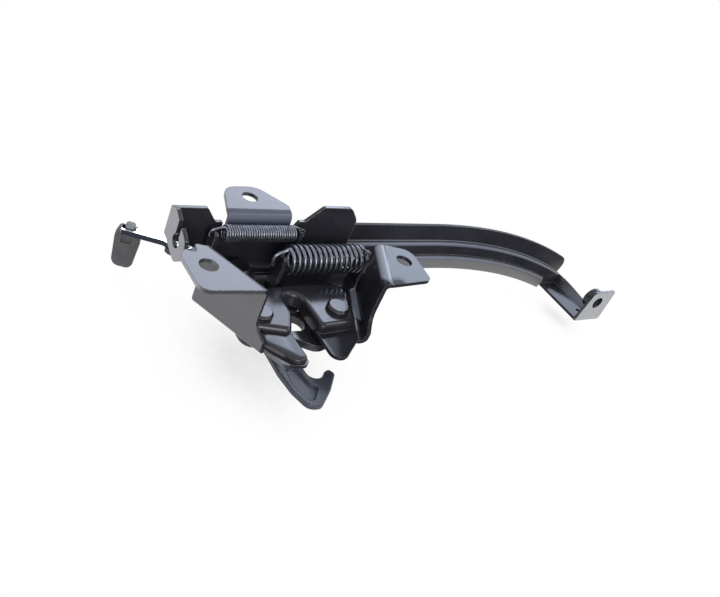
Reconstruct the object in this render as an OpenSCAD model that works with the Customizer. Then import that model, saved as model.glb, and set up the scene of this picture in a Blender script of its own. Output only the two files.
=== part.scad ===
/* [Sheet] */
// Thickness of the pressed base sheet
sheet_t = 2; // [1.5:0.1:2.5]
// Inside radius of the bends at the ears
ear_bend_r = 2.5; // [1.5:0.5:3.5]
// Inside radius of the bends at the floor
floor_bend_r = 3; // [2:0.5:4]

/* [Dish] */
// Height of the ears above the floor
dish_h = 33; // [31:0.5:36]
// Half the width between the side walls at their front end
mouth_half = 32.6; // [31:0.2:36]
// Front end of the side walls, along Y
wall_y = -2; // [-4:0.5:0]
// Lean of the side walls in plan, in degrees
wall_lean = 24.9; // [22:0.1:27]
// Length of the side walls
wall_len = 36; // [33:0.5:38]
// Inside face of the back wall, along Y
back_y = 55; // [54:0.5:58]

/* [Ears] */
// Distance between the two side ear holes
ear_pitch = 112; // [108:1:116]
// Side ear holes, along Y
ear_hole_y = 15; // [12:0.5:18]
// Diameter of the side ear holes
ear_hole_d = 9; // [7:0.5:11]
// Top ear hole, along X
top_hole_x = -10; // [-12:0.5:-8]
// Top ear hole, behind the back wall
top_hole_reach = 14.7; // [12:0.1:17]
// Diameter of the top ear hole
top_hole_d = 8.5; // [7:0.5:10]

/* [Pressing] */
// Height of the raised horseshoe round the slot
boss_h = 5.5; // [4.5:0.5:6.5]
// Radius along the top edge of raised areas
boss_edge_r = 2.4; // [1.5:0.1:3]

/* [Striker slot] */
// Diameter of the striker bar that the slot takes
striker_d = 9; // [8:0.5:10]
// Play of the striker in the slot, each side
striker_play = 0.8; // [0.5:0.1:1.2]
// Closed end of the slot, along Y
slot_end_y = 25; // [23:0.5:27]

/* [Pivots] */
// Distance between the claw and pawl pivots
pivot_pitch = 45; // [44:0.5:47]
// Claw and pawl pivots, along Y
pivot_y = 11; // [10:0.5:12]
// Safety lever pivot, along X
safety_x = -19; // [-20:0.5:-18]
// Safety lever pivot, along Y
safety_y = 45; // [44:0.5:46]
// Diameter of the rivet journals
journal_d = 9; // [8:0.5:10]
// Radial running clearance on the journals
journal_play = 0.05; // [0.02:0.01:0.1]
// Diameter of the rivet heads
head_d = 12; // [11:0.5:13]
// Height of the rivet heads
head_h = 2.8; // [2:0.2:3.4]

/* [Claw and pawl] */
// Thickness of the claw and pawl
claw_t = 4; // [3:0.5:5]
// Thickness of the release lever
lever_t = 2; // [1.5:0.5:2.5]
// Gap between stacked plates
stack_gap = 0.4; // [0.3:0.1:0.6]
// Gap between pawl nose and claw tooth
nose_gap = 0.4; // [0.3:0.1:0.6]

/* [Springs] */
// Outside diameter of the pawl spring
fat_od = 16; // [14:0.5:17]
// Wire of the pawl spring
fat_wire = 2; // [1.6:0.1:2.2]
// Turns of the pawl spring
fat_turns = 14; // [12:1:15]
// Outside diameter of the lever spring
thin_od = 8; // [7:0.5:8.5]
// Wire of the lever spring
thin_wire = 1.1; // [0.9:0.1:1.2]
// Turns of the lever spring
thin_turns = 30; // [26:1:32]
// Wire of the claw and safety springs
coil_wire = 1.2; // [1:0.1:1.3]

/* [Safety lever] */
// Thickness of the safety lever
safety_t = 3; // [2.5:0.5:4]
// Thickness of the handle strip
strip_t = 2; // [1.5:0.5:2.5]
// Width of the handle strip
strip_w = 9; // [8:0.5:10]
// Height of the grip
grip_h = 30; // [26:1:34]
// Thickness of the grip
grip_t = 8; // [7:0.5:9]

/* [Brace] */
// Straight length of the brace past the back wall
brace_run = 68; // [60:1:76]
// Radius of the brace's top edge
brace_r = 388; // [370:2:410]
// Sweep of the curved brace, in degrees
brace_sweep = 21.5; // [20:0.5:23]
// Top edge of the brace above the floor
brace_top = 23.5; // [22:0.5:25]
// Height of each band of the brace
band_h = 11; // [10:0.5:12]
// Step between the bands
band_step = 2.5; // [2.2:0.1:3]
// Reach of the strap to the foot
strap_reach = 38; // [34:1:42]
// Width of the strap and foot
foot_w = 27; // [25:1:30]
// Height of the foot
foot_h = 25; // [23:1:28]
// Diameter of the hole in the foot
foot_hole_d = 9; // [8.5:0.5:10]
// Bore of the weld nut
nut_bore_d = 6.8; // [6.6:0.1:8]

/* [Hidden] */
$fn = 48;
// Overlap by which the flats run into their bends
lap = 0.2;
// Turn of each chord on a rounded corner, and the turn below which a corner stays sharp
chord_turn = 15;
least_turn = 5;
black_coat = [0.07, 0.07, 0.08];
hook_coat = [0.16, 0.17, 0.19];
zinc = [0.82, 0.83, 0.85];
spring_wire = [0.2, 0.2, 0.22];
grip_plastic = [0.3, 0.29, 0.3];

claw_pivot = [pivot_pitch / 2, pivot_y];
pawl_pivot = [-pivot_pitch / 2, pivot_y];
safety_pivot = [safety_x, safety_y];
ear_out_r = ear_bend_r + sheet_t;
floor_out_r = floor_bend_r + sheet_t;
wall_dir = [sin(wall_lean), cos(wall_lean)];
wall_out = [cos(wall_lean), -sin(wall_lean)];
wall_front = [mouth_half, wall_y];

slot_w = striker_d + 2 * striker_play;
slot_x = 1.5;
slot_left = slot_x - slot_w / 2;
slot_right = slot_x + slot_w / 2;

lever_top = -sheet_t - stack_gap;
claw_top = lever_top - lever_t - stack_gap;
claw_base = claw_top - claw_t;
under_head_h = 2;
shoulder_r = journal_d / 2 + 1.2;
safety_top = claw_base - under_head_h - 2 * stack_gap;

// The frame's origin is midway between the side ear holes, on the ears' top face
module placed() {
    translate([0, -ear_hole_y, -dish_h]) children();
}

// Outline helpers: each corner is [x, y, radius]
function flat(p) = [p[0], p[1]];
function turn(a) = a > 180 ? a - 360 : a < -180 ? a + 360 : a;
function dir(a) = [cos(a), sin(a)];
function corner(a, p, b, r) =
    let (d1 = (a - p) / norm(a - p), d2 = (b - p) / norm(b - p))
    let (half = acos(max(-1, min(1, d1 * d2))) / 2)
    let (c = p + (d1 + d2) / norm(d1 + d2) * r / sin(half))
    let (s = p + d1 * r / tan(half) - c, e = p + d2 * r / tan(half) - c)
    let (a0 = atan2(s[1], s[0]), sweep = turn(atan2(e[1], e[0]) - a0))
    let (n = ceil(abs(sweep) / chord_turn - 0.01))
    abs(sweep) < least_turn ? [p] : [for (i = [0:n]) c + r * dir(a0 + sweep * i / n)];
function rounded(pts) =
    let (n = len(pts))
    [for (i = [0:n - 1])
        let (a = flat(pts[(i + n - 1) % n]), p = flat(pts[i]), b = flat(pts[(i + 1) % n]))
        each pts[i][2] > 0 ? corner(a, p, b, pts[i][2]) : [p]];
function left_normal(a, b) = [-(b - a)[1], (b - a)[0]] / norm(b - a);
function bulges(a, p, b) = (p - a)[0] * (b - p)[1] - (p - a)[1] * (b - p)[0] > 0;
function inset(pts, d) =
    let (n = len(pts))
    [for (i = [0:n - 1])
        let (a = flat(pts[(i + n - 1) % n]), p = flat(pts[i]), b = flat(pts[(i + 1) % n]))
        let (n1 = left_normal(a, p), n2 = left_normal(p, b), q = p + (n1 + n2) * d / (1 + n1 * n2))
        [q[0], q[1], max(0.3, bulges(a, p, b) ? pts[i][2] - d : pts[i][2] + d)]];
function lift(pts, z) = [for (p = pts) [p[0], p[1], z]];

// Solid through a stack of outlines with the same number of points
module loft(rings) {
    n = len(rings[0]);
    m = len(rings);
    sides = [for (k = [0:m - 2], i = [0:n - 1])
        [k * n + i, (k + 1) * n + i, (k + 1) * n + (i + 1) % n, k * n + (i + 1) % n]];
    bottom = [for (i = [0:n - 1]) i];
    top = [for (i = [n - 1:-1:0]) (m - 1) * n + i];
    polyhedron([for (r = rings) each r], concat(sides, [bottom, top]), convexity = 8);
}

// Raised area with a rounded top edge
module raised(pts, z0, z1, edge) {
    steps = 4;
    rim = [for (k = [0:steps])
        let (a = 90 * k / steps)
        lift(rounded(inset(pts, edge * (1 - cos(a)))), z1 - edge + edge * sin(a))];
    loft(concat([lift(rounded(pts), z0)], rim));
}

// Quarter ring of a bend, in the first quadrant
module bend(inner, outer) {
    intersection() {
        difference() {
            circle(outer);
            circle(inner);
        }
        square(outer + 1);
    }
}

// Round wire along a path, its frame carried from point to point
function unit(v) = v / norm(v);
function tangents(p) = [for (i = [0:len(p) - 1]) unit(p[min(i + 1, len(p) - 1)] - p[max(i - 1, 0)])];
function across(t) = unit(cross(t, abs(t[2]) < 0.8 ? [0, 0, 1] : [1, 0, 0]));
function carried(t) =
    [for (i = 0, u = across(t[0]); i < len(t);
        i = i + 1, u = i < len(t) ? unit(u - t[i] * (u * t[i])) : u) u];
module wire(path, d, sides) {
    t = tangents(path);
    u = carried(t);
    rings = [for (i = [0:len(path) - 1])
        let (v = cross(t[i], u[i]))
        [for (k = [0:sides - 1])
            let (q = dir(360 * k / sides))
            path[i] + d / 2 * (q[0] * u[i] - q[1] * v)]];
    loft(rings);
}

// Raised horseshoe round the slot: a left and a right lobe and the bar behind the slot
bar_y = slot_end_y + 8;
bar_lap = 6;
left_lobe = [
    [slot_left - 7, -1.5, 3],
    [slot_left, 12, 12],
    [slot_left, bar_y, 3],
    [-pivot_pitch / 2 - 10, bar_y - 9, 8],
    [-pivot_pitch / 2 - 9.5, 5, 6]];
right_lobe = [
    [slot_right, -0.5, 3],
    [pivot_pitch / 2 + 7.5, 1.5, 6],
    [pivot_pitch / 2 + 17, bar_y, 7],
    [slot_right, bar_y, 3]];
slot_bar = [
    [slot_left - bar_lap, slot_end_y, 3],
    [slot_right + bar_lap, slot_end_y, 3],
    [slot_right + bar_lap, bar_y, 3],
    [slot_left - bar_lap, bar_y - 1.5, 3]];
horseshoe = [left_lobe, right_lobe, slot_bar];
slot_end = [slot_x, slot_end_y - slot_w / 2];
collar_w = 5;
safety_boss_r = 9;

// Section of a raised edge that faces the axis, and of one that faces away from it
module edge_section(r, w, round_in, round_out) {
    difference() {
        translate([r, -sheet_t]) square([w, boss_h + sheet_t]);
        if (round_in) translate([r, boss_h]) difference() {
            square(2 * boss_edge_r, center = true);
            translate([boss_edge_r, -boss_edge_r]) circle(boss_edge_r);
        }
        if (round_out) translate([r + w, boss_h]) difference() {
            square(2 * boss_edge_r, center = true);
            translate([-boss_edge_r, -boss_edge_r]) circle(boss_edge_r);
        }
    }
}

wall_root = wall_front - (floor_bend_r - lap) * wall_out;
wall_back = wall_root + wall_len * wall_dir;
lobe_lead = 7;
wall_tip = wall_root - lobe_lead * wall_dir;
back_half = 52;

floor_outline = [
    [wall_tip[0], wall_tip[1], 0],
    [wall_back[0], wall_back[1], 0],
    [back_half + 4, 36, 4],
    [back_half + 4, 46, 4],
    [back_half - 2, back_y - floor_bend_r + lap, 0],
    [-32, back_y - floor_bend_r + lap, 0],
    [-32, 42, 3],
    [-wall_back[0], wall_back[1], 0],
    [-wall_tip[0], wall_tip[1], 0],
    [-22, -18.5, 5],
    [slot_left - 4.2, -20.5, 3.6],
    [slot_left - 4.8, -1.5, 7],
    [slot_left, 12, 12],
    [slot_left, slot_end_y, 0],
    [slot_right, slot_end_y, 0],
    [slot_right, -20, 5],
    [slot_right + 9, -16.5, 7]];

module side_wall() {
    module section() {
        translate([-floor_bend_r, floor_bend_r]) rotate(-90) bend(floor_bend_r, floor_out_r);
        translate([0, floor_bend_r - lap]) square([sheet_t, dish_h - ear_out_r - floor_bend_r + 2 * lap]);
        translate([ear_out_r, dish_h - ear_out_r]) rotate(90) bend(ear_bend_r, ear_out_r);
    }
    nose = [[-40, dish_h + 5, 0], [0, dish_h + 5, 0], [0, 11, 9], [-lobe_lead - 1, 5, 6],
        [-lobe_lead - 12, 5, 0], [-40, 5, 0]];
    difference() {
        translate([wall_front[0], wall_front[1], 0]) rotate(-wall_lean) rotate([90, 0, 0])
            translate([0, 0, -wall_len]) linear_extrude(wall_len + lobe_lead) section();
        translate([wall_front[0], wall_front[1], 0]) rotate(-wall_lean) rotate([90, 0, 90])
            translate([0, 0, -2 * floor_out_r]) linear_extrude(4 * floor_out_r) polygon(rounded(nose));
    }
}

ear_root_front = wall_front + (ear_out_r - lap) * wall_out;
ear_root_back = ear_root_front + wall_len * wall_dir;
ear_edge = ear_pitch / 2 + 9.5;

module right_ear() {
    outline = [
        [ear_root_front[0], ear_root_front[1], 0],
        [ear_edge - 2, wall_y + 0.5, 4],
        [ear_edge + 1, ear_hole_y + 8.5, 7],
        [ear_root_back[0], ear_root_back[1], 0]];
    translate([0, 0, dish_h - sheet_t]) linear_extrude(sheet_t) difference() {
        polygon(rounded(outline));
        translate([ear_pitch / 2, ear_hole_y]) circle(d = ear_hole_d);
    }
}

module left_ear() {
    outline = [
        [-ear_root_back[0], ear_root_back[1], 0],
        [-ear_root_back[0] - 5, ear_root_back[1] + 2, 1.5],
        [-ear_root_back[0] - 5.6, ear_root_back[1] - 4, 1.8],
        [-ear_root_back[0] - 9.4, ear_root_back[1] - 4, 1.8],
        [-ear_root_back[0] - 9.2, ear_root_back[1] + 1, 1.5],
        [-ear_edge - 1, ear_hole_y + 7, 4],
        [-ear_edge - 1, wall_y, 6],
        [-ear_root_front[0], ear_root_front[1], 0]];
    translate([0, 0, dish_h - sheet_t]) linear_extrude(sheet_t) difference() {
        polygon(rounded(outline));
        translate([-ear_pitch / 2, ear_hole_y]) circle(d = ear_hole_d);
    }
}

top_ear_left = -27.5;
top_ear_right = 9;
relief = 2.4;
tab_left = -56;
tab_right = back_half - 1;

module back_wall() {
    web = [
        [back_half - 2, floor_bend_r - lap, 0],
        [tab_right, 14, 0],
        [tab_right, dish_h - 3, 4],
        [tab_right - 6, dish_h + 4.5, 5],
        [27, dish_h + 4.5, 3],
        [18, dish_h - 4.7, 2],
        [top_ear_right + relief + 3, dish_h - 4.7, 0],
        [top_ear_right + relief, dish_h - 10, 1.1],
        [top_ear_right, dish_h - 10, 1.1],
        [top_ear_right, dish_h - ear_out_r + lap, 0],
        [top_ear_left, dish_h - ear_out_r + lap, 0],
        [top_ear_left, dish_h - 10, 1.1],
        [top_ear_left - relief, dish_h - 10, 1.1],
        [top_ear_left - relief, dish_h - 5.5, 0.8],
        [-34, dish_h - 5.5, 1],
        [-40, dish_h + 2.4, 2],
        [tab_left, dish_h + 2.4, 0],
        [tab_left, dish_h - 15.5, 0],
        [-46, dish_h - 19, 4],
        [-32, dish_h - 25, 4],
        [-32, floor_bend_r - lap, 0]];
    translate([0, back_y + sheet_t, 0]) rotate([90, 0, 0]) linear_extrude(sheet_t) polygon(rounded(web));
    translate([-32, back_y - floor_bend_r, floor_bend_r]) rotate([90, 0, 90])
        linear_extrude(back_half - 2 + 32) rotate(-90) bend(floor_bend_r, floor_out_r);
    translate([top_ear_left, back_y + ear_out_r, dish_h - ear_out_r]) rotate([90, 0, 90])
        linear_extrude(top_ear_right - top_ear_left) rotate(90) bend(ear_bend_r, ear_out_r);
}

module top_ear() {
    y0 = back_y + ear_out_r - lap;
    yh = back_y + top_hole_reach;
    outline = [
        [top_ear_right, y0, 0],
        [top_ear_right + 1.5, y0 + 2.5, 4],
        [top_hole_x + 8, yh + 10, 9],
        [top_hole_x - 11, yh + 9, 9],
        [top_ear_left, y0, 0]];
    translate([0, 0, dish_h - sheet_t]) linear_extrude(sheet_t) difference() {
        polygon(rounded(outline));
        translate([top_hole_x, yh]) circle(d = top_hole_d);
    }
}

// Flange bent forward from the left tab, with the open eye for the cable sheath
cable_eye = [back_y - 10.5, dish_h - 9];
cable_eye_d = 7;
cable_gate = 4;
module cable_flange() {
    plate = [
        [back_y + sheet_t, dish_h - 13, 0],
        [back_y + sheet_t, dish_h + 2.4, 0],
        [back_y - 3, dish_h + 4, 3],
        [cable_eye[0] - 9, cable_eye[1] + 5, 4],
        [cable_eye[0] - 9, cable_eye[1] - 5, 4],
        [cable_eye[0] - 3, cable_eye[1] - 10, 4]];
    translate([tab_left - sheet_t, 0, 0]) rotate([90, 0, 90]) linear_extrude(sheet_t) difference() {
        polygon(rounded(plate));
        translate(cable_eye) circle(d = cable_eye_d);
        translate(cable_eye) translate([-cable_gate / 2, 0]) square([cable_gate, 30]);
    }
}

// Lugs that hold the fixed spring ends
fat_y = 40;
fat_z = 15.5;
fat_r = (fat_od - fat_wire) / 2;
fat_x0 = 3;
fat_x1 = 49;
thin_y = 50;
thin_z = 24.5;
thin_r = (thin_od - thin_wire) / 2;
thin_x0 = -31;
thin_x1 = 9.5;
lug_t = 2;
fat_lug_w = 9;
tongue_w = 2.8;
spring_gap = 0.3;

module lug(x, y, w, z0, z1, notch) {
    outline = [[-w / 2, z0, 0], [w / 2, z0, 0], [w / 2, z1, w / 4], [-w / 2, z1, w / 4]];
    translate([x, y, 0]) rotate([90, 0, 90]) linear_extrude(lug_t) difference() {
        polygon(rounded(outline));
        translate([0, z1]) circle(notch);
    }
}

fat_hook_r = 4.6;
thin_hook_r = 2.4;
fat_seat = fat_z + fat_hook_r - fat_wire / 2 - spring_gap;
thin_seat = thin_z + thin_hook_r - thin_wire / 2 - spring_gap;

module base_plate() {
    window = [[-11, 34.5, 2], [4.5, 34.5, 2], [4.5, 49, 2], [-10.5, 49, 2]];
    color(black_coat) placed() {
        difference() {
            union() {
                translate([0, 0, -sheet_t]) linear_extrude(sheet_t) polygon(rounded(floor_outline));
                for (lobe = horseshoe)
                    raised(lobe, -sheet_t, boss_h, boss_edge_r);
                translate([slot_end[0], slot_end[1], 0]) rotate_extrude(angle = 180)
                    edge_section(slot_w / 2, collar_w, true, false);
                translate([safety_x, safety_y, 0]) rotate_extrude()
                    edge_section(0, safety_boss_r, false, true);
            }
            for (lobe = horseshoe)
                translate([0, 0, -sheet_t - 1]) linear_extrude(boss_h + 1)
                    polygon(rounded(inset(lobe, sheet_t)));
            translate([safety_x, safety_y, -sheet_t - 1])
                cylinder(h = boss_h + 1, r = safety_boss_r - sheet_t);
            translate([0, 0, -10]) linear_extrude(20) polygon(rounded(window));
            for (p = [claw_pivot, pawl_pivot, safety_pivot])
                translate([p[0], p[1], 0]) cylinder(h = 20, d = journal_d - 1);
        }
        side_wall();
        mirror([1, 0, 0]) side_wall();
        right_ear();
        left_ear();
        back_wall();
        top_ear();
        cable_flange();
        lug(fat_x1 + 2, fat_y, fat_lug_w, -sheet_t, fat_seat, fat_wire * 0.7);
        lug(thin_x1 + 3, thin_y, tongue_w, -sheet_t, thin_seat, thin_wire / 2);
    }
}

// Claw that holds the striker, and the pawl that blocks its tooth
striker_at = [slot_x, 13.5];
throat_r = striker_d / 2 + striker_play;
face_dir = [0.53, 0.85];
face_out = [-0.85, 0.53];
face_foot = claw_pivot + [-13.6, 11.4];
face_len = 5.6;
face_top = face_foot + face_len * face_dir;

module claw() {
    outline = [
        [claw_pivot[0] + 4, claw_pivot[1] - 9, 4],
        [claw_pivot[0] + 8.5, claw_pivot[1] + 2, 8],
        [claw_pivot[0] + 2, face_top[1] - 2, 8],
        [face_top[0] + 3, face_top[1] + 1.5, 2],
        [face_top[0], face_top[1], 0.4],
        [face_foot[0], face_foot[1], 0.4],
        [slot_x + 2, face_foot[1] - 0.4, 1],
        [slot_x + 2, striker_at[1] + throat_r, 0.8],
        [striker_at[0] + throat_r + 0.5, striker_at[1] + throat_r, throat_r - 0.2],
        [striker_at[0] + throat_r + 0.5, striker_at[1] - throat_r, throat_r - 0.2],
        [slot_left - 1, striker_at[1] - throat_r, 1.6],
        [slot_left - 1, striker_at[1] - throat_r - 4, 2],
        [slot_x + 5.5, -4.6, 8]];
    color(black_coat) placed() translate([0, 0, claw_base]) linear_extrude(claw_t) difference() {
        polygon(rounded(outline));
        translate(claw_pivot) circle(d = journal_d + 2 * journal_play);
    }
}

pawl_lug_x = fat_x0 - 4;
module pawl() {
    nose_low = face_foot + nose_gap * face_out + 0.6 * face_dir;
    nose_high = nose_low + (face_len - 0.8) * face_dir;
    outline = [
        [pawl_pivot[0] - 8, pawl_pivot[1] - 7.5, 6],
        [pawl_pivot[0] + 8, pawl_pivot[1] - 7.5, 6],
        [pawl_pivot[0] + 9, pawl_pivot[1] + 5, 6],
        [-7, nose_low[1] - 1.2, 4],
        [nose_low[0] - 2, nose_low[1] - 0.2, 1],
        [nose_low[0], nose_low[1], 0.3],
        [nose_high[0], nose_high[1], 0.6],
        [pawl_lug_x + lug_t + 1, nose_high[1] + 2, 3],
        [pawl_lug_x + lug_t, fat_y + 4.5, 0],
        [pawl_lug_x - 2.5, fat_y + 4.5, 2],
        [pawl_lug_x - 6, nose_high[1] + 2, 5],
        [pawl_pivot[0] - 8, pawl_pivot[1] + 6, 7]];
    color(black_coat) placed() {
        translate([0, 0, claw_base]) linear_extrude(claw_t) difference() {
            polygon(rounded(outline));
            translate(pawl_pivot) circle(d = journal_d + 2 * journal_play);
        }
        lug(pawl_lug_x, fat_y, fat_lug_w, claw_base, fat_seat, fat_wire * 0.7);
    }
}

lever_lug_x = thin_x0 - 6;
module release_lever() {
    outline = [
        [pawl_pivot[0] - 5, pawl_pivot[1] - 8, 6],
        [pawl_pivot[0] + 8, pawl_pivot[1] - 6, 6],
        [pawl_pivot[0] + 6.5, pawl_pivot[1] + 8, 6],
        [lever_lug_x + 8, 38, 10],
        [lever_lug_x + 3, thin_y + 3.5, 2],
        [lever_lug_x, thin_y + 3.5, 0],
        [lever_lug_x, thin_y - 5, 1],
        [lever_lug_x - 1, 36, 10],
        [pawl_pivot[0] - 8.5, pawl_pivot[1] + 6, 6]];
    color(black_coat) placed() {
        translate([0, 0, lever_top - lever_t]) linear_extrude(lever_t) difference() {
            polygon(rounded(outline));
            translate(pawl_pivot) circle(d = journal_d + 2 * journal_play);
        }
        lug(lever_lug_x, thin_y, 7, lever_top - lever_t, thin_seat, thin_wire * 0.8);
    }
}

// Shouldered rivet: head on the raised floor, journal below it, riveted end underneath
module shoulder_rivet(p, journal_z, end_z) {
    neck = journal_d / 2 - 0.5 - journal_play;
    profile = [
        [0, end_z],
        [head_d / 2 - 0.6, end_z],
        [head_d / 2, end_z + 0.6],
        [head_d / 2, end_z + under_head_h],
        [journal_d / 2, end_z + under_head_h],
        [journal_d / 2, journal_z],
        [shoulder_r, journal_z],
        [shoulder_r, boss_h - sheet_t],
        [neck, boss_h - sheet_t],
        [neck, boss_h],
        [head_d / 2, boss_h],
        [head_d / 2, boss_h + head_h - 1],
        [head_d / 2 - 1, boss_h + head_h],
        [0, boss_h + head_h]];
    color(black_coat) placed() translate([p[0], p[1], 0]) rotate_extrude() polygon(profile);
}

module claw_rivet() {
    shoulder_rivet(claw_pivot, claw_top + stack_gap / 2, claw_base - under_head_h - stack_gap);
}

module pawl_rivet() {
    shoulder_rivet(pawl_pivot, lever_top + stack_gap / 2, claw_base - under_head_h - stack_gap);
}

module safety_rivet() {
    shoulder_rivet(safety_pivot, safety_top + stack_gap / 2,
        safety_top - safety_t - under_head_h - stack_gap);
}

// Open hook of an extension spring, in the upright plane through its axis
function hook_path(x, r0, r1, side) =
    [for (a = [90:15:225])
        let (f = min(1, (a - 90) / 90), r = r0 + (r1 - r0) * f)
        [x + side * r * cos(a), 0, r * sin(a)]];
function reversed(p) = [for (i = [len(p) - 1:-1:0]) p[i]];
function coil_path(x0, x1, r, turns, steps) =
    [for (i = [0:turns * steps])
        let (a = 90 + 360 * i / steps)
        [x0 + (x1 - x0) * i / (turns * steps), r * cos(a), r * sin(a)]];

// Extension spring: hook over the left lug, close coil, hook over the right lug
module pull_spring(x0, x1, left_x, right_x, r, d, hook_r, turns, steps, sides) {
    left = hook_path(left_x, hook_r, hook_r, 1);
    right = hook_path(right_x, hook_r, hook_r, -1);
    path = concat(reversed(left), coil_path(x0, x1, r, turns, steps), right);
    wire(path, d, sides);
}

module pawl_spring() {
    color(spring_wire) placed() translate([0, fat_y, fat_z])
        pull_spring(fat_x0, fat_x1, pawl_lug_x + lug_t / 2, fat_x1 + 2 + lug_t / 2,
            fat_r, fat_wire, fat_hook_r, fat_turns, 18, 8);
}

module lever_spring() {
    color(spring_wire) placed() translate([0, thin_y, thin_z])
        pull_spring(thin_x0, thin_x1, lever_lug_x + lug_t / 2, thin_x1 + 3 + lug_t / 2,
            thin_r, thin_wire, thin_hook_r, thin_turns, 12, 6);
}

// Torsion spring round a rivet shoulder, with a straight leg at each end
module torsion_spring(p, z0, z1, a0, turns, leg) {
    r = shoulder_r + spring_gap + coil_wire / 2;
    steps = 18;
    n = turns * steps;
    coil = [for (i = [0:n])
        let (a = a0 + 360 * i / steps)
        [r * cos(a), r * sin(a), z0 + (z1 - z0) * i / n]];
    a1 = a0 + 360 * turns;
    first = [r * cos(a0) + leg * sin(a0), r * sin(a0) - leg * cos(a0), z0];
    last = [r * cos(a1) - leg * sin(a1), r * sin(a1) + leg * cos(a1), z1];
    color(spring_wire) placed() translate([p[0], p[1], 0])
        wire(concat([first], coil, [last]), coil_wire, 8);
}

module claw_spring() {
    low = -sheet_t + coil_wire / 2;
    high = boss_h - sheet_t - coil_wire / 2 - spring_gap;
    torsion_spring(claw_pivot, low, high, 200, 2.5, 3);
}

module safety_spring() {
    low = safety_top + coil_wire / 2 + spring_gap;
    high = lever_top - lever_t - coil_wire / 2 - spring_gap;
    torsion_spring(safety_pivot, low, high, 60, 3, 9);
}

// Safety lever with its hook, an embossed face and a tail for the handle
tail_end = [-36, 84];
strip_dir = unit([-18.5, 16.7]);
strip_len = 38;
handle_rivet_d = 4;
handle_rivet_at = [4, 12];
strip_root = tail_end - 8 * strip_dir;
function along_strip(s) = strip_root + s * strip_dir;

module safety_hook() {
    hook = [
        [-18.4, 2, 10],
        [-20, -12.8, 14],
        [-17, -28, 16],
        [-13, -38, 5],
        [-6, -36.5, 6],
        [6, -23, 10],
        [12.8, -15.5, 2],
        [9, -12.5, 2],
        [3.5, -17.8, 4],
        [-2.6, -17, 4],
        [-3.5, -6, 14],
        [-6, 12, 20],
        [safety_x + 8.5, safety_y - 4, 8],
        [safety_x + 8.5, safety_y + 8, 8],
        [safety_x + 2, safety_y + 14, 12],
        [tail_end[0] + 6, tail_end[1] + 4, 4],
        [tail_end[0] - 4, tail_end[1] + 2, 4],
        [safety_x - 12, safety_y + 10, 14],
        [safety_x - 8.5, safety_y - 6, 8],
        [-17, 18, 20]];
    recess = [
        [-14, -8, 2.4],
        [-15.4, -19, 6],
        [-11.6, -32.4, 2.6],
        [-0.6, -24.8, 2.2],
        [-7.4, -20, 4],
        [-7.6, -9, 2.4]];
    recess_depth = 0.9;
    color(hook_coat) placed() translate([0, 0, safety_top - safety_t]) difference() {
        linear_extrude(safety_t) polygon(rounded(hook));
        translate([0, 0, safety_t - recess_depth]) linear_extrude(safety_t) polygon(rounded(recess));
        translate([safety_pivot[0], safety_pivot[1], -1])
            cylinder(h = safety_t + 2, d = journal_d + 2 * journal_play);
        for (s = handle_rivet_at)
            translate([along_strip(s)[0], along_strip(s)[1], -1])
                cylinder(h = safety_t + 2, d = handle_rivet_d + 2 * journal_play);
    }
}

module on_strip(s) {
    translate([along_strip(s)[0], along_strip(s)[1], safety_top]) rotate(atan2(strip_dir[1], strip_dir[0]))
        children();
}

module handle_strip() {
    outline = [
        [0, -strip_w / 2, 3],
        [strip_len, -strip_w / 2, 1],
        [strip_len, strip_w / 2, 1],
        [0, strip_w / 2, 3]];
    color(zinc) placed() on_strip(0) linear_extrude(strip_t) difference() {
        polygon(rounded(outline));
        for (s = handle_rivet_at)
            translate([s, 0]) circle(d = handle_rivet_d + 2 * journal_play);
    }
}

module handle_rivets() {
    top = safety_top + strip_t;
    low = safety_top - safety_t;
    r = handle_rivet_d / 2;
    color(zinc) placed() for (s = handle_rivet_at)
        translate([along_strip(s)[0], along_strip(s)[1], 0]) rotate_extrude()
            polygon([[0, low - 1], [r + 1, low - 1], [r + 1.2, low], [r, low], [r, top], [r + 1.2, top],
                [r + 0.8, top + 1], [0, top + 1]]);
}

module handle_grip() {
    grip_l = 14;
    socket = 10;
    play = 0.02;
    face = [[0, -grip_h + 6, 4], [grip_l, -grip_h + 6, 4], [grip_l + 1, 3, 2], [grip_l - 4, 6.5, 2],
        [3, 6.5, 2], [-1, 3, 2]];
    color(grip_plastic) placed() on_strip(strip_len - socket) difference() {
        translate([0, grip_t / 2 + 1, 0]) rotate([90, 0, 0]) linear_extrude(grip_t + 2)
            polygon(rounded(face));
        translate([-2, -strip_w / 2 - play, -play])
            cube([socket + 2 + play, strip_w + 2 * play, strip_t + 2 * play]);
    }
}

// Brace: two bands with a step, a ledge and a hanging lip, straight and then curved downwards
brace_x0 = 28;
brace_bend = tab_right + brace_run;
lip_h = 11;
lip_start = 12;

module brace_section(with_lip) {
    y0 = back_y + sheet_t;
    upper = y0 + band_step;
    translate([upper, -band_h]) square([sheet_t, band_h]);
    translate([y0, -band_h - sheet_t]) square([band_step + sheet_t, sheet_t]);
    translate([y0, -2 * band_h - sheet_t]) square([sheet_t, band_h]);
    if (with_lip) {
        lip = y0 - band_step - sheet_t;
        translate([lip, -2 * band_h - sheet_t]) square([band_step + 2 * sheet_t, sheet_t]);
        translate([lip, -2 * band_h - lip_h]) square([sheet_t, lip_h]);
    }
}

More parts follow.
